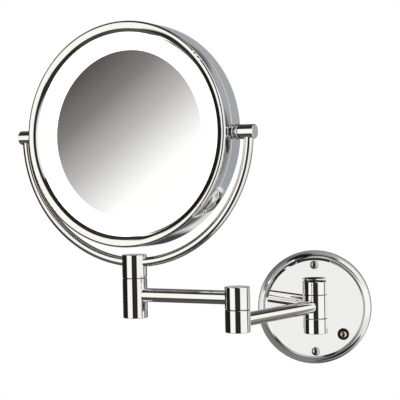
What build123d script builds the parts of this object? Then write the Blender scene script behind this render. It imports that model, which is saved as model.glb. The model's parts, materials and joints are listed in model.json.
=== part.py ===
from build123d import *
from math import asin, cos, degrees, radians, sin
import os

# A lighted, two-sided swing-arm mirror for a wall. Lengths are in millimetres, angles in degrees.
# The wall is the plane Y = 0, the mirror stands out towards -Y, +Z is up and +X is the viewer's right.
# The origin is on the back of the wall bracket, at the centre of the wall plate.

# Fits and small common sizes
fixed_fit = 0.02
running_fit = 0.05
loose_gap = 0.3
edge_bevel = 0.4
wire_radius = 2.4

# Pose of the arms and the head: degrees to the viewer's left of straight out, and degrees upwards
inner_arm_yaw = 32.9
outer_arm_yaw = 113.8
head_yaw = 23.6
head_lift = 1.9

# Wall plate
plate_radius = 58.4
plate_depth = 15.0
plate_wall = 1.2
plate_flat_radius = 49.2
plate_crown_radius = 51.0
plate_crown_rise = 0.7
plate_skirt = 3.5

# Wall bracket, its pillars and the cover screws
bracket_width = 22.0
bracket_length = 104.0
bracket_thickness = 2.5
wall_hole_spacing = 69.85
wall_hole_radius = 2.4
cover_screw_spacing = 88.9
pillar_radius = 4.0
screw_radius = 2.0
screw_head_radius = 4.4
screw_head_rise = 2.2
screw_slot_width = 1.0
screw_slot_depth = 0.9
screw_reach = 10.0

# Necks that carry the wall post, and the strip that stiffens the plate behind them
stiffener_width = 36.0
stiffener_margin = 6.0
stiffener_thickness = 1.5
neck_radius = 4.5
neck_flange_radius = 6.5
neck_flange_thickness = 2.0
neck_nut_radius = 7.0
neck_nut_thickness = 3.0

# Posts, pins and arms
post_radius = 11.9
pin_radius = 5.0
pin_bore_radius = 3.2
socket_wall = 3.0
washer_thickness = 0.6
washer_inset = 0.6
axial_play = 0.1
cap_radius = 9.5
cap_thickness = 1.6
clip_radius = 7.2
clip_thickness = 1.0
clip_room = 1.8
arm_radius = 6.6
arm_bore_radius = 5.2
inner_arm_length = 138.2
outer_arm_length = 109.4
wall_post_gap = 5.6
inner_arm_height = 4.0
sleeve_height = 23.0
wall_post_top_height = 13.2
wall_post_bottom_height = 15.1
elbow_barrel_height = 20.9
head_post_below_arm = 22.2
head_post_above_arm = 16.0
head_post_top_height = 22.1
pin_in_head_post_top = 8.0

# Yoke and its pivots
yoke_gap = 9.7
yoke_shift = 1.7
yoke_drop = 0.6
yoke_tube_radius = 4.5
yoke_bore_radius = 3.2
yoke_above_post_split = 14.6
boss_radius = 6.8
right_boss_length = 15.4
left_boss_length = 13.2
boss_web = 0.1
spindle_radius = 3.5
spindle_bore_radius = 1.6
spindle_tail = 4.5
spindle_clip_thickness = 0.8
boss_cap_thickness = 1.0
boss_wall = 1.3
collar_radius = 7.1
collar_waist = 1.3
collar_gap = 0.4
tilt_washer_radius = 7.5
tilt_washer_length = 1.8

# Head shells
head_radius = 108.0
head_depth = 36.0
front_shell_depth = 16.0
shell_wall = 1.4
shoulder_round = 2.6
bezel_width = 10.4
crown_slope = 10.5
rim_slope = 20.0
roll_radius = 3.6
lip_slope = 44.5
lip_width = 1.9
lip_land = 1.7
seam_bevel = 0.4

# What lies behind each bezel, from the outside inwards
seal_setback = 0.4
seal_width = 2.9
seal_thickness = 1.0
ring_width = 3.1
halo_width = 16.6
diffuser_thickness = 2.5
mirror_overlap = 2.6
mirror_thickness = 3.0
rear_mirror_sphere_radius = 800.0
lamp_gap = 1.6
lamp_size = 3.0
lamp_height = 1.2
lamp_count = 24
board_thickness = 1.2
board_margin = 4.3
tray_wall = 1.4
chassis_width = 5.6
chassis_depth = 12.0

# Push switch, terminal block and lamp driver
switch_across = 28.5
switch_down = 27.0
switch_body_radius = 7.4
switch_body_length = 8.5
switch_wall = 1.4
switch_bushing_radius = 4.5
switch_bushing_rise = 1.8
switch_nut_radius = 6.0
switch_nut_thickness = 1.5
button_radius = 3.4
button_rise = 3.6
button_flange = 0.9
button_travel = 1.5
terminal_width = 18.0
terminal_height = 16.0
terminal_depth = 6.0
terminal_screw_radius = 1.5
driver_width = 22.0
driver_height = 40.0
driver_depth = 8.5
driver_offset = 31.0

# Places worked out from the sizes above
split_gap = washer_thickness + axial_play
arm_seat = pin_radius + socket_wall
plate_inside = plate_depth - plate_wall
wall_axis_reach = plate_depth + wall_post_gap + post_radius
wall_section_low = sleeve_height / 2 + split_gap
outer_arm_height = inner_arm_height + elbow_barrel_height + split_gap
head_post_split = outer_arm_height + head_post_above_arm
head_post_top_low = head_post_split + split_gap
yoke_low = head_post_top_low + yoke_above_post_split
yoke_radius = head_radius + yoke_gap + yoke_tube_radius
head_height = yoke_low + yoke_radius + yoke_drop
boss_pocket = boss_cap_thickness + spindle_clip_thickness + 2 * axial_play
boss_end = yoke_radius + yoke_tube_radius + boss_web + boss_pocket
boss_lengths = {1: right_boss_length, -1: left_boss_length}


def heading(yaw):
    return Vector(-sin(radians(yaw)), -cos(radians(yaw)))


wall_axis = Pos(0, -wall_axis_reach, 0)
elbow_axis = wall_axis * Pos(heading(inner_arm_yaw) * inner_arm_length)
head_axis = elbow_axis * Pos(heading(outer_arm_yaw) * outer_arm_length)
yoke_place = head_axis * Pos(0, 0, head_height) * Rot(0, 0, -head_yaw)
head_place = yoke_place * Rot(-head_lift, 0, 0)


# Shapes that many pieces share
def rod(radius, low, high):
    return Pos(0, 0, low) * Cylinder(radius, high - low, align=(Align.CENTER, Align.CENTER, Align.MIN))


def tube(radius, bore_radius, low, high):
    return rod(radius, low, high) - rod(bore_radius, low, high)


def bevelled_rod(radius, low, high):
    plain = rod(radius, low, high)
    return chamfer(plain.edges().filter_by(GeomType.CIRCLE), edge_bevel)


def pointing(yaw, height=0):
    # turns a piece that runs up +Z so that it runs level along a heading
    return Pos(0, 0, height) * Rot(0, 0, -yaw) * Rot(90, 0, 0)


def spun(*edges):
    # turns an outline of (radius, depth) about the Y axis
    return revolve(make_face(edges), Axis.Y)


def spun_outline(*points):
    return spun(*Polyline(*points, close=True).edges())


def arm_socket(yaw, height):
    seat = pointing(yaw, height) * rod(arm_radius + fixed_fit, arm_seat, 2 * post_radius)
    wire_way = pointing(yaw, height) * rod(wire_radius, 0, 2 * post_radius)
    return seat + wire_way


def pin_with_windows(low, high, windows):
    pin = tube(pin_radius, pin_bore_radius, low, high)
    for yaw, height in windows:
        pin -= pointing(yaw, height) * rod(wire_radius, 0, 2 * pin_radius)
    return pin


def cap_pocket(low, high):
    return rod(cap_radius + fixed_fit, low, high)


def write(name, shape):
    export_step(shape, f"parts/{name}.step")


def write_group(name, shapes):
    write(name, Compound(children=list(shapes)))


# Wall base
def plate_form(inset):
    crown = plate_depth + plate_crown_rise - inset
    flat = plate_depth - inset
    shoulder = EllipticalCenterArc(
        (plate_crown_radius, -plate_skirt),
        plate_radius - inset - plate_crown_radius,
        crown - plate_skirt,
        start_angle=-90,
        arc_size=90,
    )
    back_to_skirt = Line((plate_radius - inset, 0), (plate_radius - inset, -plate_skirt))
    crown_to_back = Polyline(
        (plate_crown_radius, -crown),
        (plate_flat_radius, -flat),
        (0, -flat),
        (0, 0),
        (plate_radius - inset, 0),
    )
    return spun(back_to_skirt, shoulder, *crown_to_back.edges())


def facing_out(x, z):
    # a piece that runs up +Z then runs out of the wall from this point
    return Pos(x, 0, z) * Rot(90, 0, 0)


cover_screw_places = [facing_out(0, side * cover_screw_spacing / 2) for side in (1, -1)]
wall_hole_places = [facing_out(0, side * wall_hole_spacing / 2) for side in (1, -1)]
neck_heights = [
    inner_arm_height + wall_section_low + wall_post_top_height / 2,
    inner_arm_height - wall_section_low - wall_post_bottom_height / 2,
]
neck_places = [facing_out(0, height) for height in neck_heights]
switch_place = facing_out(switch_across, -switch_down)


def make_wall_base():
    plate = plate_form(0) - plate_form(plate_wall)
    for place in cover_screw_places:
        plate -= place * rod(screw_radius + loose_gap, 0, 2 * plate_depth)
    for place in neck_places:
        plate -= place * rod(neck_radius + fixed_fit, 0, 2 * plate_depth)
    plate -= switch_place * rod(switch_bushing_radius + fixed_fit, 0, 2 * plate_depth)
    write("wall_plate", plate)

    bar_outline = SlotOverall(bracket_length, bracket_width, rotation=90)
    bar = facing_out(0, 0) * extrude(bar_outline, bracket_thickness)
    for place in wall_hole_places:
        bar -= place * rod(wall_hole_radius, 0, bracket_thickness)
    write("wall_bracket", bar)

    pillar = rod(pillar_radius, bracket_thickness, plate_inside)
    pillar -= rod(screw_radius + fixed_fit, plate_inside - screw_reach - loose_gap, plate_inside)
    write_group("bracket_pillars", [place * pillar for place in cover_screw_places])

    dome = revolve(
        make_face(
            [
                Line((0, plate_depth), (screw_head_radius, plate_depth)),
                ThreePointArc(
                    (screw_head_radius, plate_depth),
                    (0.62 * screw_head_radius, plate_depth + 0.72 * screw_head_rise),
                    (0, plate_depth + screw_head_rise),
                ),
                Line((0, plate_depth + screw_head_rise), (0, plate_depth)),
            ]
        ),
        Axis.Y,
    )
    screw = Rot(90, 0, 0) * dome + rod(screw_radius, plate_inside - screw_reach, plate_depth)
    slot_middle = plate_depth + screw_head_rise - screw_slot_depth / 2
    screw -= Pos(0, 0, slot_middle) * Box(screw_slot_width, 3 * screw_head_radius, screw_slot_depth)
    write_group("cover_screws", [place * screw for place in cover_screw_places])

    neck_tip = wall_axis_reach - arm_seat
    neck_tail = plate_inside - stiffener_thickness - neck_nut_thickness - edge_bevel
    neck = rod(neck_radius, neck_tail, neck_tip)
    neck += rod(neck_flange_radius, plate_depth, plate_depth + neck_flange_thickness)
    neck -= rod(wire_radius, neck_tail, neck_tip)
    write_group("post_necks", [place * neck for place in neck_places])

    strip_low = min(neck_heights) - neck_nut_radius - stiffener_margin
    strip_high = max(neck_heights) + neck_nut_radius + stiffener_margin
    strip_middle = (strip_low + strip_high) / 2
    strip_back = plate_inside - stiffener_thickness
    strip = facing_out(0, strip_middle) * Pos(0, 0, strip_back) * extrude(
        Rectangle(stiffener_width, strip_high - strip_low), stiffener_thickness
    )
    for place in neck_places:
        strip -= place * rod(neck_radius + fixed_fit, 0, plate_depth)
    write("stiffener_strip", strip)

    nut_back = strip_back - neck_nut_thickness
    nut = Pos(0, 0, nut_back) * extrude(RegularPolygon(neck_nut_radius, 6), neck_nut_thickness)
    nut -= rod(neck_radius + fixed_fit, 0, plate_depth)
    write_group("neck_nuts", [place * nut for place in neck_places])

    post_low = inner_arm_height - wall_section_low - wall_post_bottom_height
    post_high = inner_arm_height + wall_section_low + wall_post_top_height
    sections = {
        "wall_post_bottom": (post_low, post_low + wall_post_bottom_height, neck_heights[1]),
        "wall_post_top": (post_high - wall_post_top_height, post_high, neck_heights[0]),
    }
    for name, (low, high, neck_height) in sections.items():
        section = bevelled_rod(post_radius, low, high) - rod(pin_radius + fixed_fit, low, high)
        section -= pointing(180, neck_height) * rod(neck_radius + fixed_fit, arm_seat, 2 * post_radius)
        section -= pointing(180, neck_height) * rod(wire_radius, 0, 2 * post_radius)
        section -= cap_pocket(post_low, post_low + cap_thickness)
        section -= cap_pocket(post_high - cap_thickness, post_high)
        write(name, wall_axis * section)

    windows = [(180, height) for height in neck_heights] + [(inner_arm_yaw, inner_arm_height)]
    pin = pin_with_windows(post_low + cap_thickness, post_high - cap_thickness, windows)
    write("wall_post_pin", wall_axis * pin)

    caps = [rod(cap_radius, low, low + cap_thickness) for low in (post_low, post_high - cap_thickness)]
    write_group("wall_post_caps", [wall_axis * cap for cap in caps])

    washer_lows = [
        post_low + wall_post_bottom_height,
        post_high - wall_post_top_height - washer_thickness,
    ]
    washers = [
        tube(post_radius - washer_inset, pin_radius + fixed_fit, low, low + washer_thickness)
        for low in washer_lows
    ]
    write_group("wall_post_washers", [wall_axis * washer for washer in washers])


def make_base_fittings():
    block = Pos(0, 0, bracket_thickness) * extrude(Rectangle(terminal_width, terminal_height), terminal_depth)
    screw_top = bracket_thickness + terminal_depth
    for column in (-1, 0, 1):
        hole = rod(terminal_screw_radius, screw_top - terminal_depth / 2, screw_top)
        block -= Pos(column * terminal_width / 3, 0, 0) * hole
    write("terminal_block", facing_out(0, inner_arm_height) * block)

    driver = extrude(Rectangle(driver_width, driver_height), driver_depth)
    driver = Pos(0, 0, plate_inside - driver_depth) * driver
    driver = fillet(driver.edges().filter_by(Axis.Z), edge_bevel)
    write("lamp_driver", facing_out(-driver_offset, 0) * driver)

    # heights here are counted outwards from the wall
    body_low = plate_inside - switch_body_length
    bushing_top = plate_depth + switch_bushing_rise
    room_top = plate_inside - switch_wall
    body = rod(switch_body_radius, body_low, plate_inside)
    body += rod(switch_bushing_radius, plate_inside, bushing_top)
    body -= rod(button_radius + running_fit, room_top, bushing_top)
    body -= rod(switch_bushing_radius + loose_gap, body_low + switch_wall, room_top)
    write("switch_body", switch_place * body)

    nut_top = plate_depth + switch_nut_thickness
    nut = tube(switch_nut_radius, switch_bushing_radius + fixed_fit, plate_depth, nut_top)
    outer_rim = nut.edges().group_by(Axis.Z)[-1].sort_by(SortBy.RADIUS)[-1]
    write("switch_nut", switch_place * chamfer(outer_rim, edge_bevel))

    button_top = bushing_top + button_rise
    flange_top = room_top - axial_play
    button = rod(button_radius, flange_top - button_flange, button_top)
    button = fillet(button.edges().group_by(Axis.Z)[-1], 0.7 * button_radius)
    button += rod(switch_bushing_radius, flange_top - button_flange, flange_top)
    write("switch_button", switch_place * button)


# Arms
def elbow_lows():
    lower = inner_arm_height - elbow_barrel_height / 2
    return lower, lower + elbow_barrel_height + split_gap


def arm_tube(length):
    return tube(arm_radius, arm_bore_radius, arm_seat, length - arm_seat)


def clip_ring(low):
    return tube(clip_radius, pin_radius + fixed_fit, low, low + clip_thickness)


def make_inner_arm():
    sleeve_low = inner_arm_height - sleeve_height / 2
    sleeve_high = sleeve_low + sleeve_height
    sleeve = rod(post_radius, sleeve_low, sleeve_high)
    sleeve -= rod(pin_radius + running_fit, sleeve_low, sleeve_high)
    sleeve -= arm_socket(inner_arm_yaw, inner_arm_height)
    write("wall_post_sleeve", wall_axis * sleeve)
    arm = pointing(inner_arm_yaw, inner_arm_height) * arm_tube(inner_arm_length)
    write("inner_arm_tube", wall_axis * arm)

    lower, upper = elbow_lows()
    lower_high = lower + elbow_barrel_height
    upper_high = upper + elbow_barrel_height
    barrel = bevelled_rod(post_radius, lower, lower_high) - rod(pin_radius + fixed_fit, lower, lower_high)
    barrel -= arm_socket(inner_arm_yaw + 180, inner_arm_height)
    barrel -= cap_pocket(lower, lower + cap_thickness)
    write("elbow_lower_barrel", elbow_axis * barrel)
    write("elbow_bottom_cap", elbow_axis * rod(cap_radius, lower, lower + cap_thickness))

    windows = [(inner_arm_yaw + 180, inner_arm_height), (outer_arm_yaw, outer_arm_height)]
    pin_high = upper_high - cap_thickness - loose_gap
    write("elbow_pin", elbow_axis * pin_with_windows(lower + cap_thickness, pin_high, windows))
    clip_low = upper_high - cap_thickness - clip_room + loose_gap
    write("elbow_clip", elbow_axis * clip_ring(clip_low))
    washer_high = lower_high + washer_thickness
    washer = tube(post_radius - washer_inset, pin_radius + fixed_fit, lower_high, washer_high)
    write("elbow_washer", elbow_axis * washer)


def make_outer_arm():
    lower, upper = elbow_lows()
    upper_high = upper + elbow_barrel_height
    barrel = bevelled_rod(post_radius, upper, upper_high) - rod(pin_radius + running_fit, upper, upper_high)
    barrel -= arm_socket(outer_arm_yaw, outer_arm_height)
    barrel -= cap_pocket(upper_high - cap_thickness, upper_high)
    barrel -= rod(clip_radius + loose_gap, upper_high - cap_thickness - clip_room, upper_high)
    write("elbow_upper_barrel", elbow_axis * barrel)
    write("elbow_top_cap", elbow_axis * rod(cap_radius, upper_high - cap_thickness, upper_high))
    arm = pointing(outer_arm_yaw, outer_arm_height) * arm_tube(outer_arm_length)
    write("outer_arm_tube", elbow_axis * arm)

    low = outer_arm_height - head_post_below_arm
    post = bevelled_rod(post_radius, low, head_post_split)
    post -= rod(pin_radius + running_fit, low, head_post_split)
    post -= arm_socket(outer_arm_yaw + 180, outer_arm_height)
    post -= cap_pocket(low, low + cap_thickness)
    post -= rod(clip_radius + loose_gap, low, low + cap_thickness + clip_room)
    write("head_post_lower_barrel", head_axis * post)
    write("head_post_bottom_cap", head_axis * rod(cap_radius, low, low + cap_thickness))
    washer_high = head_post_split + washer_thickness
    washer = tube(post_radius - washer_inset, pin_radius + loose_gap, head_post_split, washer_high)
    write("head_post_washer", head_axis * washer)


# Yoke
def yoke_ring(section, start):
    # the lower half of a ring round the head, short of level by the start angle at both ends
    ring = revolve(Rot(0, start, 0) * Pos(yoke_radius, 0, 0) * section, Axis.Y, 180 - 2 * start)
    return Pos(yoke_shift, 0, -yoke_drop) * ring


def boss_span(side):
    # where a boss starts and ends, counted out from the head's middle
    end = boss_end + side * yoke_shift
    return end - boss_lengths[side], end


def along_pivot(side):
    # a piece that runs up +Z then runs out along the pivot axis, to the right for 1 and to the left for -1
    return Rot(0, side * 90, 0)


def make_yoke():
    top = head_post_top_low + head_post_top_height
    pin_top = head_post_top_low + pin_in_head_post_top
    passage = yoke_ring(Circle(yoke_tube_radius + fixed_fit), 0)
    post = bevelled_rod(post_radius, head_post_top_low, top)
    post -= rod(pin_radius + fixed_fit, head_post_top_low, pin_top)
    post -= rod(wire_radius, pin_top, yoke_low)
    write("head_post_upper_barrel", head_axis * post - yoke_place * passage)

    low = outer_arm_height - head_post_below_arm + cap_thickness
    windows = [(outer_arm_yaw + 180, outer_arm_height)]
    write("head_post_pin", head_axis * pin_with_windows(low + loose_gap, pin_top, windows))
    write("head_post_clip", head_axis * clip_ring(low + clip_room - loose_gap - clip_thickness))

    seat = spindle_radius + running_fit + boss_wall
    start = degrees(asin((seat - yoke_drop) / yoke_radius))
    ring = yoke_ring(Circle(yoke_tube_radius) - Circle(yoke_bore_radius), start)
    wire_hole = head_axis * rod(wire_radius, head_post_top_low, yoke_low)
    write("yoke_tube", yoke_place * ring - wire_hole)

    tube_seat = yoke_ring(Circle(yoke_tube_radius + fixed_fit), start)
    caps = []
    for name, side in (("right_pivot_boss", 1), ("left_pivot_boss", -1)):
        inner, outer = boss_span(side)
        boss = bevelled_rod(boss_radius, inner, outer)
        boss -= rod(spindle_radius + running_fit, inner, outer)
        boss -= rod(boss_radius - boss_wall, outer - boss_pocket, outer)
        write(name, yoke_place * (along_pivot(side) * boss - tube_seat))
        cap = rod(boss_radius - boss_wall - fixed_fit, outer - boss_cap_thickness, outer)
        caps.append(yoke_place * along_pivot(side) * cap)
    write_group("boss_caps", caps)


# Head
def half(side):
    # front pieces are made with depth counted from the front edge; the rear ones are turned about
    turn = 0 if side == "front" else 180
    return head_place * Rot(0, 0, turn) * Pos(0, -head_depth / 2, 0)


crown_radius = head_radius - shoulder_round
rim_radius = head_radius - bezel_width
seal_inner_radius = rim_radius + seal_setback
seal_outer_radius = seal_inner_radius + seal_width
ring_inner_radius = seal_outer_radius + fixed_fit
ring_outer_radius = ring_inner_radius + ring_width
diffuser_inner_radius = rim_radius - halo_width
chassis_inner_radius = head_radius - shell_wall - chassis_width

# the bezel's section runs smoothly from a round shoulder over a crowned face and a roll into a steep lip
shoulder_middle = Vector(crown_radius, shoulder_round)
face_start = shoulder_middle + heading(crown_slope) * shoulder_round
roll_middle_radius = rim_radius + lip_width + roll_radius * sin(radians(lip_slope))
roll_start_radius = roll_middle_radius - roll_radius * sin(radians(rim_slope))
face_radius = (face_start.X - roll_start_radius) / (sin(radians(rim_slope)) - sin(radians(crown_slope)))
face_middle = face_start - heading(crown_slope) * face_radius
roll_middle = face_middle + heading(rim_slope) * (face_radius - roll_radius)
lip_end = roll_middle + heading(lip_slope) * roll_radius
lip_end += heading(lip_slope + 90) * (lip_width / cos(radians(lip_slope)))
lip_back = lip_end.Y + lip_land
ring_back = lip_back + axial_play + seal_thickness
diffuser_back = ring_back + diffuser_thickness
mirror_back = diffuser_back + mirror_thickness
lamp_front = diffuser_back + lamp_gap
board_front = lamp_front + lamp_height
tray_front = board_front + board_thickness
tray_inner_radius = diffuser_inner_radius + mirror_overlap - tray_wall
tray_outer_radius = chassis_inner_radius - fixed_fit
mirror_radius = diffuser_inner_radius + mirror_overlap
board_middle_radius = (diffuser_inner_radius + rim_radius) / 2


def section_arc(middle, radius, start, end):
    # part of the bezel's section; the angle counts from facing out to facing the head's middle
    return ThreePointArc(*[middle + heading(angle) * radius for angle in (start, (start + end) / 2, end)])


def bezel_inside(radius):
    # depth of the bezel's inner face at a radius
    inner_face_radius = face_radius - shell_wall
    return face_middle.Y - (inner_face_radius**2 - (face_middle.X - radius) ** 2) ** 0.5


def shell(depth):
    inside_radius = head_radius - shell_wall
    inside_slope = degrees(asin((face_middle.X - inside_radius) / (face_radius - shell_wall)))
    shoulder = section_arc(shoulder_middle, shoulder_round, -90, crown_slope)
    face = section_arc(face_middle, face_radius, crown_slope, rim_slope)
    roll = section_arc(roll_middle, roll_radius, rim_slope, lip_slope)
    inside_roll = section_arc(roll_middle, roll_radius - shell_wall, lip_slope, rim_slope)
    inside_face = section_arc(face_middle, face_radius - shell_wall, rim_slope, inside_slope)
    inside_bend = shell_wall * (1 - sin(radians(lip_slope))) / cos(radians(lip_slope))
    lip = Polyline(
        roll @ 1,
        lip_end,
        (rim_radius, lip_back),
        (rim_radius + shell_wall, lip_back),
        (rim_radius + shell_wall, lip_end.Y + inside_bend),
        inside_roll @ 0,
    )
    side = Polyline(
        inside_face @ 1,
        (inside_radius, depth),
        (head_radius - seam_bevel, depth),
        (head_radius, depth - seam_bevel),
        shoulder @ 0,
    )
    return spun(shoulder, face, roll, *lip.edges(), inside_roll, inside_face, *side.edges())


def pivot_holes(radius):
    return Rot(0, 90, 0) * rod(radius, -2 * head_radius, 2 * head_radius)


def make_head_side(side, shell_depth):
    place = half(side)
    middle = Pos(0, head_depth / 2, 0)
    spindle_hole = middle * pivot_holes(spindle_radius + loose_gap)
    write(f"{side}_shell", place * (shell(shell_depth) - spindle_hole))

    # the seal lies between the lip and the diffuser, and the ring round it keeps them apart
    ring = spun_outline(
        (ring_inner_radius, bezel_inside(ring_inner_radius) + axial_play),
        (ring_outer_radius, bezel_inside(ring_outer_radius) + axial_play),
        (ring_outer_radius, ring_back),
        (ring_inner_radius, ring_back),
    )
    write(f"{side}_retaining_ring", place * ring)
    seal = spun_outline(
        (seal_inner_radius, lip_back + axial_play),
        (seal_outer_radius, lip_back + axial_play),
        (seal_outer_radius, ring_back),
        (seal_inner_radius, ring_back),
    )
    write(f"{side}_seal", place * seal)

    diffuser = spun_outline(
        (diffuser_inner_radius, ring_back),
        (ring_outer_radius, ring_back),
        (ring_outer_radius, diffuser_back),
        (diffuser_inner_radius, diffuser_back),
    )
    write(f"{side}_diffuser", place * diffuser)

    tray = spun_outline(
        (tray_inner_radius, mirror_back),
        (tray_inner_radius + tray_wall, mirror_back),
        (tray_inner_radius + tray_wall, tray_front),
        (tray_outer_radius - tray_wall, tray_front),
        (tray_outer_radius - tray_wall, diffuser_back),
        (tray_outer_radius, diffuser_back),
        (tray_outer_radius, tray_front + tray_wall),
        (tray_inner_radius + tray_wall, tray_front + tray_wall),
        (tray_inner_radius + tray_wall, head_depth / 2),
        (tray_inner_radius, head_depth / 2),
    )
    write(f"{side}_light_tray", place * tray)

    board_low = diffuser_inner_radius + board_margin
    board_high = rim_radius - board_margin
    board = spun_outline(
        (board_low, board_front), (board_high, board_front), (board_high, tray_front), (board_low, tray_front)
    )
    write(f"{side}_lamp_board", place * board)
    lamp = Pos(0, lamp_front + lamp_height / 2, board_middle_radius) * Box(lamp_size, lamp_height, lamp_size)
    turns = [Rot(0, 360 * step / lamp_count, 0) for step in range(lamp_count)]
    write_group(f"{side}_lamps", [place * turn * lamp for turn in turns])


def make_mirrors():
    flat_mirror = spun_outline(
        (0, diffuser_back), (mirror_radius, diffuser_back), (mirror_radius, mirror_back), (0, mirror_back)
    )
    write("front_mirror", half("front") * flat_mirror)

    # the magnifying glass: both faces are parts of spheres about one centre in front of it
    sphere_depth = (rear_mirror_sphere_radius**2 - mirror_radius**2) ** 0.5
    centre = Pos(0, diffuser_back - sphere_depth, 0)
    blank = spun_outline(
        (0, diffuser_back),
        (mirror_radius, diffuser_back),
        (mirror_radius, mirror_back),
        (tray_inner_radius, mirror_back),
        (tray_inner_radius, head_depth / 2),
        (0, head_depth / 2),
    )
    back_sphere = centre * Sphere(rear_mirror_sphere_radius + mirror_thickness)
    concave = (blank & back_sphere) - centre * Sphere(rear_mirror_sphere_radius)
    write("rear_mirror", half("rear") * concave)


def make_chassis_and_pivots():
    outer_radius = head_radius - shell_wall - fixed_fit
    chassis = spun_outline(
        (chassis_inner_radius, -chassis_depth / 2),
        (outer_radius, -chassis_depth / 2),
        (outer_radius, chassis_depth / 2),
        (chassis_inner_radius, chassis_depth / 2),
    )
    write("chassis_ring", head_place * (chassis - pivot_holes(spindle_radius + fixed_fit)))

    pieces = {"pivot_spindles": [], "spindle_clips": [], "pivot_collars": [], "tilt_washers": []}
    for side in (1, -1):
        inner, outer = boss_span(side)
        clip_high = outer - boss_cap_thickness - axial_play
        clip_low = clip_high - spindle_clip_thickness
        spindle = tube(spindle_radius, spindle_bore_radius, head_radius - spindle_tail, clip_high)
        clip = tube(boss_radius - boss_wall - loose_gap, spindle_radius + fixed_fit, clip_low, clip_high)
        washer_high = inner - loose_gap
        washer_low = washer_high - tilt_washer_length
        washer = tube(tilt_washer_radius, spindle_radius + fixed_fit, washer_low, washer_high)
        rims = washer.edges().filter_by(GeomType.CIRCLE).group_by(SortBy.RADIUS)[-1]
        washer = fillet(rims, tilt_washer_length / 3)
        collar_low = head_radius + axial_play
        collar_high = washer_low - collar_gap
        collar = tube(collar_radius, spindle_radius + fixed_fit, collar_low, collar_high)
        collar -= Pos(0, 0, (collar_low + collar_high) / 2) * Torus(collar_radius, collar_waist)
        for group, piece in zip(pieces.values(), (spindle, clip, collar, washer)):
            group.append(head_place * along_pivot(side) * piece)
    for name, group in pieces.items():
        write_group(name, group)


os.makedirs("parts", exist_ok=True)
make_wall_base()
make_base_fittings()
make_inner_arm()
make_outer_arm()
make_yoke()
make_head_side("front", front_shell_depth)
make_head_side("rear", head_depth - front_shell_depth)
make_mirrors()
make_chassis_and_pivots()
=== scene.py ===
import json
import math

import bpy
from mathutils import Matrix


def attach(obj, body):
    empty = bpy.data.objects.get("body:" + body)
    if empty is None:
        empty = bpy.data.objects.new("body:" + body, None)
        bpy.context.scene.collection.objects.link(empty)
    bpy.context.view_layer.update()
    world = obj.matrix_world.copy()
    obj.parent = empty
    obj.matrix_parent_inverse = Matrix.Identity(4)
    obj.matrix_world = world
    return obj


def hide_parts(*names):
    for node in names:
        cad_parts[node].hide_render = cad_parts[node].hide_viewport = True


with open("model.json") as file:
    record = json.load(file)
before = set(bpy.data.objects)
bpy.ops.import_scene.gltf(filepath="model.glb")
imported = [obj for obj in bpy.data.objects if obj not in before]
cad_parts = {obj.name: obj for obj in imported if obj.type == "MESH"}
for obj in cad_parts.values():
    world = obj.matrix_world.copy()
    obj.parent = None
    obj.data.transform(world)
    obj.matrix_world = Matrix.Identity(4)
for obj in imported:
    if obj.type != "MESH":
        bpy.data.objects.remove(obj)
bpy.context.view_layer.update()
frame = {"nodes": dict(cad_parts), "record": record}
nodes = frame["nodes"]
scene = bpy.context.scene
scene.view_settings.view_transform = "Standard"
print("frame loaded with", len(nodes), "nodes")

# camera, from the fit of the rims, posts, arms and plate
cameraView = {
    "place": (-0.0358, -1.4137, 0.1563),
    "turnDeg": 3.27,
    "downDeg": 1.77,
    "rollDeg": -1.15,
    "focalPixels": 1365.0,
    "imagePixels": 400.0,
    "sensorMm": 36.0,
    "clipEnd": 50.0,
}


def addCamera(view):
    data = bpy.data.cameras.new("photoCamera")
    data.sensor_width = view["sensorMm"]
    data.lens = view["sensorMm"] * view["focalPixels"] / view["imagePixels"]
    data.clip_end = view["clipEnd"]
    camera = bpy.data.objects.new("photoCamera", data)
    scene.collection.objects.link(camera)
    turn = Matrix.Rotation(math.radians(view["turnDeg"]), 4, "Z")
    lean = Matrix.Rotation(math.radians(90 - view["downDeg"]), 4, "X")
    roll = Matrix.Rotation(math.radians(view["rollDeg"]), 4, "Z")
    camera.matrix_world = Matrix.Translation(view["place"]) @ turn @ lean @ roll
    scene.camera = camera


addCamera(cameraView)
print("camera placed")


def grey(shade):
    return (shade, shade, shade)


warmBox = (1.07, 1.04, 0.99)  # the tall soft box at the viewer's left
warmStrip = (1.05, 1.01, 0.96)  # a narrow strip light beside the right one
coolWall = (0.40, 0.41, 0.43)  # the wall behind, which the side of the head shows

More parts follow.
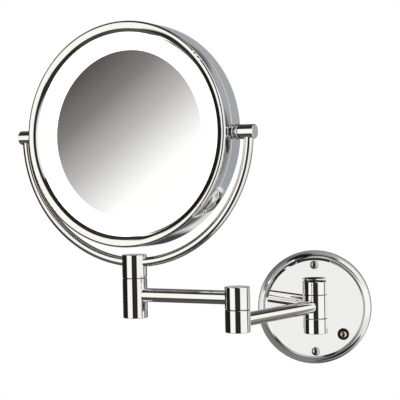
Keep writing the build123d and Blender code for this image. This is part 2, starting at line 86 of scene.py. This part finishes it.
# studio: white for the camera; what the chrome sees is a dark room with two tall soft boxes
# stops are (degrees to the viewer's right of straight out, colour), heights are degrees above level
# levels go from the lowest up, and the last reaches the zenith
studio = {
    "fill": (0.86, 0.87, 0.88),
    "fillStrength": 0.9,
    "levels": {
        "floor": {"upTo": -64, "soften": 6, "stops": [
            (-180, (0.07, 0.07, 0.06)), (-110, (0.08, 0.08, 0.07)), (-60, (0.06, 0.06, 0.05)),
            (60, (0.06, 0.06, 0.05)), (180, (0.07, 0.07, 0.06))]},
        "table": {"upTo": -28, "soften": 3, "stops": [
            (-180, (0.07, 0.07, 0.06)), (-90, (0.1, 0.1, 0.09)), (-62, (0.06, 0.06, 0.05)),
            (-30, (0.06, 0.06, 0.05)), (-20, grey(0.03)), (25, grey(0.03)), (29, (0.9, 0.9, 0.89)),
            (95, (0.85, 0.85, 0.84)), (104, (0.2, 0.19, 0.17)), (131, (0.16, 0.15, 0.13)),
            (150, (0.15, 0.14, 0.125)), (168, (0.09, 0.09, 0.08)), (180, grey(0.08))]},
        "ledge": {"upTo": -9, "soften": 3, "stops": [
            (-180, grey(0.06)), (-85, (0.05, 0.05, 0.04)), (-66, grey(0.012)), (-62, warmBox),
            (-27, warmBox), (-22, grey(0.02)), (25, grey(0.02)), (29, (0.95, 0.95, 0.94)),
            (95, (0.85, 0.85, 0.84)), (104, (0.1, 0.1, 0.09)), (116, (0.3, 0.29, 0.26)),
            (124, (0.24, 0.23, 0.2)), (130, (0.36, 0.375, 0.4)), (150, (0.38, 0.395, 0.42)),
            (155, grey(0.75)), (170, grey(0.75)), (175, grey(0.06)), (180, grey(0.06))]},
        "softBoxesLow": {"upTo": -1, "soften": 3, "stops": [
            (-180, grey(0.9)), (-176, grey(0.9)), (-172, grey(0.03)), (-71, grey(0.008)),
            (-67, warmBox), (-24, warmBox), (-19, grey(0.012)), (5, grey(0.03)), (25, grey(0.012)),
            (29, (1.0, 1.0, 0.99)), (94, grey(1.0)), (98, grey(0.012)), (109, grey(0.012)),
            (111.5, warmStrip), (120, warmStrip), (123, grey(0.03)), (127, grey(0.03)),
            (130, (0.36, 0.375, 0.4)), (140, (0.38, 0.395, 0.42)), (143, grey(0.02)), (173, grey(0.02)),
            (176, grey(0.9)), (180, grey(0.9))]},
        "softBoxesHigh": {"upTo": 26, "soften": 3, "stops": [
            (-180, coolWall), (-172, coolWall), (-166, grey(0.05)), (-71, grey(0.008)), (-67, warmBox),
            (-24, warmBox), (-19, grey(0.012)), (25, grey(0.012)), (29, (1.0, 1.0, 0.99)),
            (96, grey(1.0)), (100, grey(0.015)), (109, grey(0.015)), (111.5, warmStrip),
            (120, warmStrip), (122, grey(0.03)), (127, grey(0.03)), (131, coolWall), (180, coolWall)]},
        "eaves": {"upTo": 35, "soften": 4, "stops": [
            (-180, grey(0.08)), (-66, grey(0.012)), (-62, warmBox), (-24, warmBox), (-19, grey(0.012)),
            (25, grey(0.012)), (29, (1.0, 1.0, 0.99)), (90, grey(1.0)), (100, grey(0.015)),
            (126, grey(0.015)), (136, (0.07, 0.07, 0.065)), (148, (0.13, 0.13, 0.125)),
            (172, (0.14, 0.14, 0.135)), (180, grey(0.08))]},
        "wallTop": {"upTo": 56, "soften": 5, "stops": [
            (-180, grey(0.12)), (-140, grey(0.1)), (-110, grey(0.03)), (28, grey(0.02)),
            (36, grey(0.9)), (90, grey(0.9)), (104, grey(0.03)), (135, grey(0.08)), (180, grey(0.12))]},
        "ceiling": {"stops": [
            (-180, grey(0.1)), (-130, grey(0.04)), (28, grey(0.012)), (40, grey(0.8)), (90, grey(0.8)),
            (110, grey(0.03)), (180, grey(0.1))]},
    },
    # what the wall plate's round shoulder sees, close to the wall
    "plateLevels": {
        "plateUnder": {"upTo": -36, "soften": 6, "stops": [
            (-180, (0.18, 0.18, 0.17)), (-145, (0.25, 0.25, 0.24)), (-80, (0.17, 0.17, 0.16)),
            (-10, (0.25, 0.25, 0.24)), (14, (0.15, 0.15, 0.14)), (26, (0.012, 0.012, 0.016)),
            (92, (0.012, 0.012, 0.016)), (106, grey(0.38)), (140, grey(0.3)), (152, grey(0.05)),
            (180, (0.18, 0.18, 0.17))]},
        "plateBelow": {"upTo": -17, "soften": 8, "stops": [
            (-180, grey(0.12)), (-125, (0.23, 0.23, 0.22)), (-77, (0.19, 0.19, 0.18)),
            (-37, (0.14, 0.14, 0.13)), (10, (0.15, 0.15, 0.14)), (26, grey(0.3)), (40, grey(0.85)),
            (75, grey(0.75)), (127, grey(0.95)), (147, grey(0.6)), (158, grey(0.03)),
            (180, grey(0.08))]},
        "plateLevel": {"upTo": 14, "soften": 8, "stops": [
            (-180, grey(0.02)), (-160, grey(0.1)), (-143, grey(0.55)), (-113, grey(0.82)),
            (-78, (0.97, 0.97, 0.96)), (-56, (0.95, 0.95, 0.94)), (-46, (0.45, 0.45, 0.44)),
            (-20, (0.45, 0.45, 0.44)), (-12, grey(0.02)), (11, grey(0.03)), (17, grey(1.0)),
            (118, grey(1.0)), (146, grey(0.42)), (157, grey(0.03)), (180, grey(0.02))]},
        "plateAbove": {"upTo": 57, "soften": 6, "stops": [
            (-180, grey(0.28)), (-152, grey(0.13)), (-120, grey(0.21)), (-30, grey(0.25)),
            (-19, grey(0.24)), (-15, (0.008, 0.008, 0.014)), (-8, (0.008, 0.008, 0.014)),
            (-2, grey(0.42)), (20, grey(0.58)), (34, grey(0.02)), (48, grey(0.02)), (58, grey(0.95)),
            (118, grey(0.9)), (146, grey(0.42)), (180, grey(0.28))]},
        "plateTop": {"stops": [
            (-180, grey(0.24)), (-165, grey(0.12)), (-150, (0.01, 0.01, 0.015)),
            (-20, (0.008, 0.008, 0.014)), (15, grey(0.05)), (58, grey(0.06)), (100, grey(0.32)),
            (150, grey(0.35)), (180, grey(0.24))]},
    },
    # a pale card round the lens, for the flat of the wall plate
    "lensCard": {
        "turns": (-1.3, 4.2), "heights": (-9.2, -3.5), "feather": 0.4, "colour": (0.93, 0.93, 0.92),
    },
    # a doorway shaded along a slant, where only the flat glass looks
    "doorway": {
        "turns": (-59.0, -48.0), "heights": (-2.5, 9.8), "feather": 1.2,
        "slant": (0.68, -0.73), "span": (-43.0, -37.5),
        "shades": [
            (-42.6, (0.113, 0.101, 0.101)), (-41.2, (0.24, 0.22, 0.221)),
            (-39.6, (0.535, 0.523, 0.523)), (-37.55, grey(1.06))],
    },
}


def addNode(tree, kind, **values):
    node = tree.nodes.new(kind)
    for key, value in values.items():
        setattr(node, key, value)
    return node


def mathNode(tree, operation, first, second=None):
    node = addNode(tree, "ShaderNodeMath", operation=operation)
    for socket, value in zip(node.inputs, (first, second)):
        if value is None:
            continue
        if isinstance(value, (int, float)):
            socket.default_value = value
        else:
            tree.links.new(value, socket)
    return node.outputs[0]


def colourMix(tree, factor, first, second):
    node = addNode(tree, "ShaderNodeMix", data_type="RGBA")
    factorIn, firstIn, secondIn = node.inputs[0], node.inputs[6], node.inputs[7]
    tree.links.new(factor, factorIn)
    for socket, value in ((firstIn, first), (secondIn, second)):
        if isinstance(value, tuple):
            socket.default_value = (*value, 1.0)
        else:
            tree.links.new(value, socket)
    return node.outputs[2]


def smoothRange(tree, value, low, high):
    node = addNode(tree, "ShaderNodeMapRange", interpolation_type="SMOOTHSTEP")
    node.inputs["From Min"].default_value = low
    node.inputs["From Max"].default_value = high
    tree.links.new(value, node.inputs["Value"])
    return node.outputs[0]


def rampColours(tree, value, stops):
    ramp = addNode(tree, "ShaderNodeValToRGB")
    elements = ramp.color_ramp.elements
    elements.remove(elements[1])
    for index, (place, colour) in enumerate(stops):
        element = elements[0] if index == 0 else elements.new(place)
        element.position = place
        element.color = (*colour, 1.0)
    tree.links.new(value, ramp.inputs[0])
    return ramp.outputs[0]


def levelColours(tree, turn, height, levels):
    # bands of colour round the room, one above the other
    seen = None
    below = None
    for level in levels.values():
        colours = rampColours(tree, turn, [((at + 180.0) / 360.0, colour) for at, colour in level["stops"]])
        if seen is None:
            seen = colours
        else:
            half = math.radians(below["soften"]) / 2.0
            edge = math.radians(below["upTo"])
            seen = colourMix(tree, smoothRange(tree, height, edge - half, edge + half), seen, colours)
        below = level
    return seen


def doorwayColours(tree, turnDeg, heightDeg, door):
    along = mathNode(
        tree, "ADD",
        mathNode(tree, "MULTIPLY", turnDeg, door["slant"][0]),
        mathNode(tree, "MULTIPLY", heightDeg, door["slant"][1]),
    )
    low, high = door["span"]
    shade = addNode(tree, "ShaderNodeMapRange")
    shade.inputs["From Min"].default_value = low
    shade.inputs["From Max"].default_value = high
    tree.links.new(along, shade.inputs["Value"])
    stops = [((place - low) / (high - low), colour) for place, colour in door["shades"]]
    return rampColours(tree, shade.outputs[0], stops)


def windowShape(tree, turnDeg, heightDeg, window):
    shape = None
    for value, (low, high) in ((turnDeg, window["turns"]), (heightDeg, window["heights"])):
        rising = smoothRange(tree, value, low, low + window["feather"])
        falling = smoothRange(tree, value, high, high - window["feather"])
        both = mathNode(tree, "MULTIPLY", rising, falling)
        shape = both if shape is None else mathNode(tree, "MULTIPLY", shape, both)
    return shape


def addStudioWorld(light):
    world = bpy.data.worlds.new("studioWorld")
    scene.world = world
    world.use_nodes = True
    tree = world.node_tree
    tree.nodes.clear()
    link = tree.links.new
    direction = addNode(tree, "ShaderNodeTexCoord").outputs["Generated"]
    axes = addNode(tree, "ShaderNodeSeparateXYZ")
    link(direction, axes.inputs[0])
    front = mathNode(tree, "MULTIPLY", axes.outputs["Y"], -1.0)
    angle = mathNode(tree, "ARCTAN2", axes.outputs["X"], front)
    turn = mathNode(tree, "ADD", mathNode(tree, "DIVIDE", angle, 2.0 * math.pi), 0.5)
    height = mathNode(tree, "ARCSINE", axes.outputs["Z"])
    path = addNode(tree, "ShaderNodeLightPath")
    flawless = path.outputs["Is Singular Ray"]  # only the glass and the plate are polished that far
    room = levelColours(tree, turn, height, light["levels"])
    seen = colourMix(tree, flawless, room, levelColours(tree, turn, height, light["plateLevels"]))
    turnDeg = mathNode(tree, "DEGREES", angle)
    heightDeg = mathNode(tree, "DEGREES", height)
    card = light["lensCard"]
    shape = mathNode(tree, "MULTIPLY", windowShape(tree, turnDeg, heightDeg, card), flawless)
    seen = colourMix(tree, shape, seen, card["colour"])
    door = light["doorway"]
    shape = mathNode(tree, "MULTIPLY", windowShape(tree, turnDeg, heightDeg, door), flawless)
    seen = colourMix(tree, shape, seen, doorwayColours(tree, turnDeg, heightDeg, door))
    reflected = addNode(tree, "ShaderNodeBackground")
    link(seen, reflected.inputs["Color"])
    fill = addNode(tree, "ShaderNodeBackground")
    fill.inputs["Color"].default_value = (*light["fill"], 1.0)
    fill.inputs["Strength"].default_value = light["fillStrength"]
    white = addNode(tree, "ShaderNodeBackground")
    white.inputs["Color"].default_value = (1.0, 1.0, 1.0, 1.0)
    glossyMix = addNode(tree, "ShaderNodeMixShader")
    link(path.outputs["Is Glossy Ray"], glossyMix.inputs[0])
    link(fill.outputs[0], glossyMix.inputs[1])
    link(reflected.outputs[0], glossyMix.inputs[2])
    cameraMix = addNode(tree, "ShaderNodeMixShader")
    link(path.outputs["Is Camera Ray"], cameraMix.inputs[0])
    link(glossyMix.outputs[0], cameraMix.inputs[1])
    link(white.outputs[0], cameraMix.inputs[2])
    output = addNode(tree, "ShaderNodeOutputWorld")
    link(cameraMix.outputs[0], output.inputs["Surface"])


addStudioWorld(studio)
print("studio light set")

# a pale floor far below the wall arm, as white to the lens as the backdrop
floor = {"level": -0.6, "size": 12.0, "colour": (0.88, 0.88, 0.87)}


def addFloor(place):
    bpy.ops.object.select_all(action="DESELECT")
    bpy.ops.mesh.primitive_plane_add(size=place["size"], location=(0.0, 0.0, place["level"]))
    sheet = bpy.context.object
    sheet.name = "paleFloor"
    material = bpy.data.materials.new("paleFloor")
    material.use_nodes = True
    tree = material.node_tree
    tree.nodes.clear()
    link = tree.links.new
    paint = addNode(tree, "ShaderNodeBsdfDiffuse")
    paint.inputs["Color"].default_value = (*place["colour"], 1.0)
    white = addNode(tree, "ShaderNodeEmission")
    path = addNode(tree, "ShaderNodeLightPath")
    toLens = addNode(tree, "ShaderNodeMixShader")
    link(path.outputs["Is Camera Ray"], toLens.inputs[0])
    link(paint.outputs[0], toLens.inputs[1])
    link(white.outputs[0], toLens.inputs[2])
    clear = addNode(tree, "ShaderNodeBsdfTransparent")
    side = addNode(tree, "ShaderNodeNewGeometry")
    upSide = addNode(tree, "ShaderNodeMixShader")
    link(side.outputs["Backfacing"], upSide.inputs[0])
    link(toLens.outputs[0], upSide.inputs[1])
    link(clear.outputs[0], upSide.inputs[2])
    output = addNode(tree, "ShaderNodeOutputMaterial")
    link(upSide.outputs[0], output.inputs["Surface"])
    sheet.data.materials.append(material)
    sheet.visible_glossy = False


addFloor(floor)
print("floor laid")


# finishes
def newFinish(name):
    material = bpy.data.materials.new(name)
    material.use_nodes = True
    tree = material.node_tree
    return material, tree, tree.nodes["Principled BSDF"]


# cloudy change of roughness with a fine grain under it
wear = {"cloudDetail": 6.0, "cloudRange": (0.35, 0.7), "grainFiner": 60.0, "grainDepth": 0.0001}


def addWear(tree, shader, scale, smooth, rough, bump):
    coords = addNode(tree, "ShaderNodeTexCoord")
    cloud = addNode(tree, "ShaderNodeTexNoise")
    cloud.inputs["Scale"].default_value = scale
    cloud.inputs["Detail"].default_value = wear["cloudDetail"]
    tree.links.new(coords.outputs["Object"], cloud.inputs["Vector"])
    level = addNode(tree, "ShaderNodeMapRange")
    level.inputs["From Min"].default_value = wear["cloudRange"][0]
    level.inputs["From Max"].default_value = wear["cloudRange"][1]
    level.inputs["To Min"].default_value = smooth
    level.inputs["To Max"].default_value = rough
    tree.links.new(cloud.outputs["Fac"], level.inputs["Value"])
    tree.links.new(level.outputs[0], shader.inputs["Roughness"])
    grain = addNode(tree, "ShaderNodeTexNoise")
    grain.inputs["Scale"].default_value = scale * wear["grainFiner"]
    tree.links.new(coords.outputs["Object"], grain.inputs["Vector"])
    dent = addNode(tree, "ShaderNodeBump")
    dent.inputs["Strength"].default_value = bump
    dent.inputs["Distance"].default_value = wear["grainDepth"]
    tree.links.new(grain.outputs["Fac"], dent.inputs["Height"])
    tree.links.new(dent.outputs[0], shader.inputs["Normal"])


def metalFinish(name, colour, smooth, rough, scale=18.0, bump=0.01):
    material, tree, shader = newFinish(name)
    shader.inputs["Base Color"].default_value = (*colour, 1.0)
    shader.inputs["Metallic"].default_value = 1.0
    addWear(tree, shader, scale, smooth, rough, bump)
    return material


def mirrorFinish(name, colour, paler, scale):
    # no haze at all; the silver's tint drifts a little
    material, tree, shader = newFinish(name)
    coords = addNode(tree, "ShaderNodeTexCoord")
    cloud = addNode(tree, "ShaderNodeTexNoise")
    cloud.inputs["Scale"].default_value = scale
    cloud.inputs["Detail"].default_value = 4.0
    tree.links.new(coords.outputs["Object"], cloud.inputs["Vector"])
    tree.links.new(colourMix(tree, cloud.outputs["Fac"], colour, paler), shader.inputs["Base Color"])
    shader.inputs["Metallic"].default_value = 1.0
    shader.inputs["Roughness"].default_value = 0.0
    return material


def plasticFinish(name, colour, smooth, rough, scale=60.0, bump=0.08):
    material, tree, shader = newFinish(name)
    shader.inputs["Base Color"].default_value = (*colour, 1.0)
    addWear(tree, shader, scale, smooth, rough, bump)
    return material


def litFinish(name, colour, glow, strength, scale=90.0, bump=0.05):
    material, tree, shader = newFinish(name)
    shader.inputs["Base Color"].default_value = (*colour, 1.0)
    shader.inputs["Emission Color"].default_value = (*glow, 1.0)
    shader.inputs["Emission Strength"].default_value = strength
    addWear(tree, shader, scale, 0.45, 0.6, bump)
    return material


finishes = {
    "chrome": metalFinish("polishedChrome", (0.90, 0.90, 0.89), 0.015, 0.05),
    "steel": metalFinish("zincSteel", (0.56, 0.56, 0.55), 0.28, 0.45, 40.0, 0.06),
    "black_plastic": plasticFinish("blackNylon", (0.02, 0.02, 0.02), 0.4, 0.6),
    "diffuser": litFinish("litAcrylic", (0.95, 0.95, 0.94), (1.05, 1.01, 0.96), 1.0),
    "mirror_glass": mirrorFinish("silveredGlass", (0.93, 0.93, 0.925), (0.95, 0.95, 0.945), 9.0),
    "white_plastic": plasticFinish("whiteTray", (0.85, 0.85, 0.84), 0.35, 0.5),
    "lamp": litFinish("lampPhosphor", (1.0, 0.92, 0.7), (1.0, 0.96, 0.86), 1.0),
    "bronze": metalFinish("polishedBronze", (0.80, 0.70, 0.47), 0.05, 0.12, 60.0, 0.05),
    "aluminium": metalFinish("castAluminium", (0.72, 0.72, 0.73), 0.3, 0.45, 50.0, 0.08),
}

# nodes with a finish of their own within their slot
ownFinish = {
    "wall_plate": mirrorFinish("platePolish", (0.90, 0.90, 0.89), (0.93, 0.93, 0.92), 14.0),
    # painted shade: the screw heads' metal is dimmed to 0.55 to stand in for the dark surroundings their
    # domes reflect
    "cover_screws": metalFinish("nickelPaintedShade", (0.55, 0.55, 0.54), 0.03, 0.08, 40.0, 0.02),
    # painted shade: the switch nut's bronze is darkened to stand in for the dark outline the studio light
    # gives it
    "switch_nut": metalFinish("bronzePaintedShade", (0.20, 0.155, 0.09), 0.10, 0.22, 60.0, 0.05),
}

# each node's own shape with its triangles joined up, so that round faces reflect as round
polish = {"joinWithin": 2e-6, "sharpOverDeg": {"wall_plate": 12.0, "others": 28.0}}


def polishedCopy(nodeName, bodyName, slotName):
    bpy.ops.object.select_all(action="DESELECT")
    piece = bpy.data.objects.new(nodeName + "_polished", nodes[nodeName].data.copy())
    scene.collection.objects.link(piece)
    piece.select_set(True)
    bpy.context.view_layer.objects.active = piece
    bpy.ops.mesh.customdata_custom_splitnormals_clear()
    bpy.ops.object.mode_set(mode="EDIT")
    bpy.ops.mesh.select_all(action="SELECT")
    bpy.ops.mesh.remove_doubles(threshold=polish["joinWithin"])
    bpy.ops.object.mode_set(mode="OBJECT")
    sharpOver = polish["sharpOverDeg"].get(nodeName, polish["sharpOverDeg"]["others"])
    bpy.ops.object.shade_smooth_by_angle(angle=math.radians(sharpOver))
    piece.data.materials.clear()
    piece.data.materials.append(ownFinish.get(nodeName, finishes[slotName]))
    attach(piece, bodyName)
    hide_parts(nodeName)


slotOf = {entry["node"]: entry["material_slot"] for entry in frame["record"]["subparts"]}
for bodyName, members in frame["record"]["behaviour"]["bodies"].items():
    for nodeName in members:
        polishedCopy(nodeName, bodyName, slotOf[nodeName])
print("finishes given")
